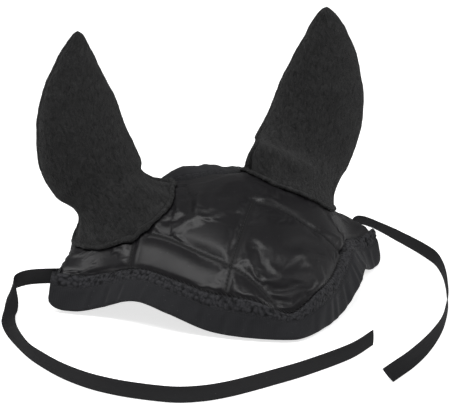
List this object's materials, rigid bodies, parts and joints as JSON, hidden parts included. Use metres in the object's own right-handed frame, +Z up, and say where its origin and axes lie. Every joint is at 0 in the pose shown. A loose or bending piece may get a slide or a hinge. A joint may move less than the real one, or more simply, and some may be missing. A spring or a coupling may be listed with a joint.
{
  "type": "fly mask",
  "caption": "Small forehead and ear fly mask: quilted satin panel, knit bands, two tilting knit ears and two satin ribbon ties.",
  "frame": {"origin": "on the surface it stands on, under the middle of the bonnet's bounding box without its ribbons", "axes": "+Z up, the nose of the bonnet points along -Y, the wearer's left ear and cheek lie at +X"},
  "size_m": [0.3126, 0.2609, 0.1712],
  "materials": {
    "satin": "black polyester satin, soft gloss",
    "wadding": "white polyester wadding",
    "lining": "black tricot lining, matte",
    "band_knit": "black fine rib knit, matte",
    "ear_knit": "black fuzzy knit, matte",
    "ribbon": "black satin ribbon, soft gloss",
    "thread": "black sewing thread"
  },
  "bodies": {
    "bonnet": {"forehead_cover": "satin", "forehead_wadding": "wadding", "forehead_lining": "lining", "front_band": "band_knit", "rear_band": "band_knit", "left_ear_collar": "band_knit", "right_ear_collar": "band_knit", "left_ribbon": "ribbon", "right_ribbon": "ribbon", "left_ribbon_tab": "ribbon", "right_ribbon_tab": "ribbon", "front_seam_thread": "thread", "front_gather_thread": "thread", "rear_seam_thread": "thread", "rear_top_thread": "thread", "quilting_thread_1": "thread", "quilting_thread_2": "thread", "quilting_thread_3": "thread", "quilting_thread_4": "thread", "quilting_thread_5": "thread", "quilting_thread_6": "thread"},
    "left_ear": {"left_ear_front_panel": "ear_knit", "left_ear_back_panel": "ear_knit", "left_ear_outer_thread": "thread", "left_ear_inner_thread": "thread"},
    "right_ear": {"right_ear_front_panel": "ear_knit", "right_ear_back_panel": "ear_knit", "right_ear_outer_thread": "thread", "right_ear_inner_thread": "thread"}
  },
  "joints": [
    {"name": "left_ear_tilt", "type": "hinge", "parent": "bonnet", "child": "left_ear", "pos_m": [0.06253, 0.04894, 0.06448], "axis": [0.8509, 0.2122, -0.4805], "range_deg": [-20, 20], "stiffness_Nm_per_rad": 0.06},
    {"name": "right_ear_tilt", "type": "hinge", "parent": "bonnet", "child": "right_ear", "pos_m": [-0.06253, 0.04894, 0.06448], "axis": [0.8509, -0.2122, 0.4805], "range_deg": [-20, 20], "stiffness_Nm_per_rad": 0.06}
  ]
}
